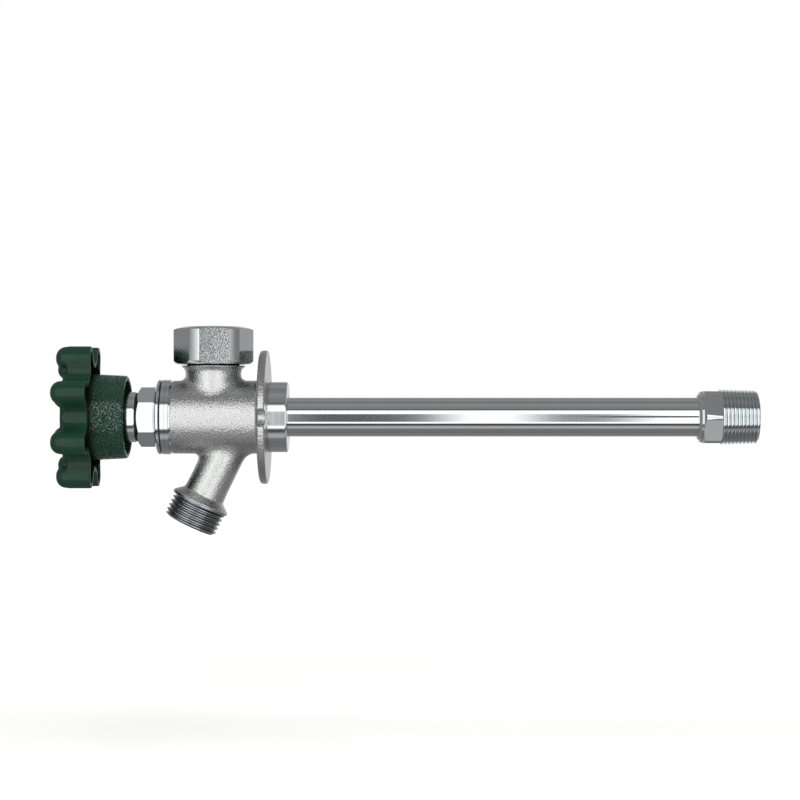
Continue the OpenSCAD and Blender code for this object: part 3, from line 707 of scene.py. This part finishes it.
nodeFinishes = {
    "bonnet_gasket": pressedFibre, "breaker_gasket": pressedFibre,
    "packing_gland": turnedBrass, "packing": graphiteYarn, "spindle_o_ring": mouldedRubber,
    "spindle": turnedBrass, "spindle_rod": turnedBrass, "rod_end": turnedBrass,
    "rod_guide": mouldedAcetal, "washer_holder": turnedBrass, "swivel_ring": stainlessSteel,
    "seat_washer": mouldedRubber, "washer_screw": turnedBrass,
    "handle_lock_washer": stainlessSteel, "handle_screw": stainlessSteel,
    "breaker_seat": turnedBrass, "float": mouldedAcetal, "float_seal": mouldedRubber,
    "valve_body": turnedChrome, "supply_tube": turnedChrome, "inlet_fitting": turnedChrome,
    "bonnet": turnedChrome, "packing_nut": turnedChrome, "vacuum_breaker_cap": turnedChrome,
    "handle": greenEnamel,
}
for nodeName, finish in nodeFinishes.items():
    setMaterial(frame["nodes"][nodeName], finish)
print("inner pieces finished")


# Floor, lights and camera

studio = {"floorHeight": -0.15, "floorRadius": 7, "floorSides": 64, "floorColour": "#e9e9e7",
          "nearLift": 0.31, "farLift": 0.65, "shadowReach": 0.4, "shadowEnd": 1.2}


def buildFloor(setup):
    bpy.ops.object.select_all(action="DESELECT")
    bpy.ops.mesh.primitive_circle_add(
        vertices=setup["floorSides"], radius=setup["floorRadius"], fill_type="NGON",
        location=(0, 0, setup["floorHeight"]))
    floor = bpy.context.object
    floor.name = "studioFloor"
    material, tree, shader, surface = startMaterial(
        "paleFloorPaint", Base_Color=hexColour(setup["floorColour"]), Roughness=0.9)
    # the camera sees the floor lit up to white, and less so under the part, where its
    # soft shadow stays
    rays = addNode(tree, "ShaderNodeLightPath")
    away = addNode(tree, "ShaderNodeVectorMath", links={0: surface}, operation="LENGTH")
    whiten = addNode(tree, "ShaderNodeMapRange", {
        "From Min": setup["shadowReach"], "From Max": setup["shadowEnd"],
        "To Min": setup["nearLift"], "To Max": setup["farLift"]},
        {"Value": away.outputs["Value"]})
    lift = addNode(tree, "ShaderNodeMath", links={
        0: rays.outputs["Is Camera Ray"], 1: whiten.outputs["Result"]},
        operation="MULTIPLY")
    shader.inputs["Emission Color"].default_value = grey(1)
    tree.links.new(lift.outputs["Value"], shader.inputs["Emission Strength"])
    setMaterial(floor, material)
    floor.visible_glossy = False


buildFloor(studio)

# The grey room that mirrors see. Its bands run round the X axis, from straight below at 0
# over the front at 0.25 and straight above at 0.5 to the back at 0.75, with a white window
# in a dark frame. Two dark screens stand before the window: where, as parts of its height
# and as the X of a direction with the share of the window's light left there
room = {
    "bands": [
        (0.00, 0.21), (0.045, 0.22), (0.062, 0.55), (0.094, 0.52), (0.108, 0.2),
        (0.122, 0.07), (0.142, 0.07), (0.152, 1.7), (0.355, 1.7), (0.366, 0.12),
        (0.376, 0.12), (0.392, 0.27), (0.425, 0.27), (0.445, 0.33), (0.48, 0.33),
        (0.50, 0.25), (0.56, 0.25), (0.575, 0.35), (0.595, 0.35), (0.61, 0.28), (0.68, 0.3),
        (0.71, 0.75), (0.79, 0.75), (0.82, 0.3), (0.95, 0.21)],
    "screens": [
        {"low": 0.174, "high": 0.301, "level": 0.1, "across": [
            (-0.2, 1.0), (-0.078, 1.0), (-0.07, 0.15), (-0.04, 0.0), (0.012, 0.05),
            (0.034, 1.0), (0.056, 1.0), (0.076, 0.12), (0.104, 0.15), (0.132, 1.0)]},
        {"low": 0.245, "high": 0.27, "level": 0.05, "across": [
            (-0.2, 1.0), (0.1, 1.0), (0.108, 0.0), (0.16, 0.0), (0.17, 1.0)]}],
    "screenReach": 0.2, "screenEdge": 0.003,
    "fadeStart": 0.55, "fadeEnd": 0.95, "endGrey": 0.3, "roomLight": 0.5,
}


def addRamp(tree, value, levels):
    ramp = addNode(tree, "ShaderNodeValToRGB", links={"Fac": value})
    stops = ramp.color_ramp.elements
    while len(stops) > 1:
        stops.remove(stops[-1])
    stops[0].position = levels[0][0]
    stops[0].color = grey(levels[0][1])
    for position, level in levels[1:]:
        stops.new(position).color = grey(level)
    return ramp.outputs["Color"]


# Darkens the window where a screen stands before it
def addScreen(tree, window, height, aside, screen, reach, edge):
    station = addNode(tree, "ShaderNodeMapRange", {"From Min": -reach, "From Max": reach},
                      {"Value": aside})
    across = addRamp(tree, station.outputs["Result"], [
        ((side + reach) / (2 * reach), level) for side, level in screen["across"]])
    upright = addRamp(tree, height, [
        (0, 0), (screen["low"] - edge, 0), (screen["low"], 1), (screen["high"], 1),
        (screen["high"] + edge, 0)])
    covered = addNode(tree, "ShaderNodeMath", {0: 1}, {1: across}, operation="SUBTRACT")
    covered = addNode(tree, "ShaderNodeMath", links={
        0: covered.outputs["Value"], 1: upright}, operation="MULTIPLY")
    return addNode(tree, "ShaderNodeMixRGB", {"Color2": grey(screen["level"])},
                   {"Fac": covered.outputs["Value"], "Color1": window}).outputs["Color"]


def buildWorld(room):
    world = bpy.data.worlds.new("studio")
    bpy.context.scene.world = world
    world.use_nodes = True
    tree = world.node_tree
    tree.nodes.clear()
    direction = addNode(tree, "ShaderNodeTexCoord").outputs["Generated"]
    axes = addNode(tree, "ShaderNodeSeparateXYZ", links={0: direction})
    forward = addNode(tree, "ShaderNodeMath", {1: -1}, {0: axes.outputs["Y"]},
                      operation="MULTIPLY")
    angle = addNode(tree, "ShaderNodeMath", links={
        0: axes.outputs["Z"], 1: forward.outputs["Value"]}, operation="ARCTAN2")
    share = addNode(tree, "ShaderNodeMapRange",
                    {"From Min": -math.pi / 2, "From Max": 1.5 * math.pi},
                    {"Value": angle.outputs["Value"]}, clamp=False)
    height = addNode(tree, "ShaderNodeMath", {1: 1}, {0: share.outputs["Result"]},
                     operation="FLOORED_MODULO").outputs["Value"]
    window = addRamp(tree, height, room["bands"])
    for screen in room["screens"]:
        window = addScreen(tree, window, height, axes.outputs["X"], screen,
                           room["screenReach"], room["screenEdge"])
    # towards the ends of the X axis the bands fade into plain grey
    side = addNode(tree, "ShaderNodeMath", links={0: axes.outputs["X"]},
                   operation="ABSOLUTE")
    fade = addNode(tree, "ShaderNodeMapRange",
                   {"From Min": room["fadeStart"], "From Max": room["fadeEnd"]},
                   {"Value": side.outputs["Value"]})
    mirrored = addNode(tree, "ShaderNodeMixRGB", {"Color2": grey(room["endGrey"])},
                       {"Fac": fade.outputs["Result"], "Color1": window})
    # only mirrors see the bands; the rest is lit by a plain room, and the camera sees white
    rays = addNode(tree, "ShaderNodeLightPath")
    lit = addNode(tree, "ShaderNodeMixRGB", {"Color1": grey(room["roomLight"])},
                  {"Fac": rays.outputs["Is Glossy Ray"], "Color2": mirrored.outputs["Color"]})
    shown = addNode(tree, "ShaderNodeMixRGB", {"Color2": grey(1)},
                    {"Fac": rays.outputs["Is Camera Ray"], "Color1": lit.outputs["Color"]})
    background = addNode(tree, "ShaderNodeBackground", links={"Color": shown.outputs["Color"]})
    addNode(tree, "ShaderNodeOutputWorld", links={"Surface": background.outputs["Background"]})


buildWorld(room)

softboxes = [
    {"name": "frontSoftbox", "location": (-0.35, -1.3, 0.75), "target": (0, 0, 0),
     "size": (0.9, 0.6), "power": 6},
    {"name": "topSoftbox", "location": (0.1, 0.1, 1.3), "target": (0.05, 0, 0),
     "size": (1.2, 0.8), "power": 5},
    {"name": "backSoftbox", "location": (0.4, 1.2, 0.6), "target": (0, 0, 0),
     "size": (0.9, 0.6), "power": 4},
]


def addSoftbox(name, location, target, size, power):
    bpy.ops.object.select_all(action="DESELECT")
    bpy.ops.object.light_add(type="AREA", location=location)
    softbox = bpy.context.object
    softbox.name = name
    softbox.data.shape = "RECTANGLE"
    softbox.data.size, softbox.data.size_y = size
    softbox.data.energy = power
    softbox.visible_glossy = False
    direction = [t - l for t, l in zip(target, location)]
    reach = math.hypot(direction[0], direction[1])
    softbox.rotation_euler = (math.atan2(reach, -direction[2]), 0,
                              math.atan2(-direction[0], direction[1]))


for softboxSettings in softboxes:
    addSoftbox(**softboxSettings)

# The photograph looks level along +Y, from about a metre away
shot = {"x": 64.5, "z": 8.4, "distance": 980, "focalPixels": 2000, "imagePixels": 800,
        "sensorWidth": 36, "nearest": 50}


def buildCamera(shot):
    bpy.ops.object.select_all(action="DESELECT")
    bpy.ops.object.camera_add(
        location=(shot["x"] * mm, -shot["distance"] * mm, shot["z"] * mm),
        rotation=(math.pi / 2, 0, 0))
    camera = bpy.context.object
    camera.data.sensor_width = shot["sensorWidth"]
    camera.data.lens = shot["sensorWidth"] * shot["focalPixels"] / shot["imagePixels"]
    camera.data.clip_start = shot["nearest"] * mm
    bpy.context.scene.camera = camera


buildCamera(shot)
bpy.context.scene.view_settings.view_transform = "Standard"
print("studio made")
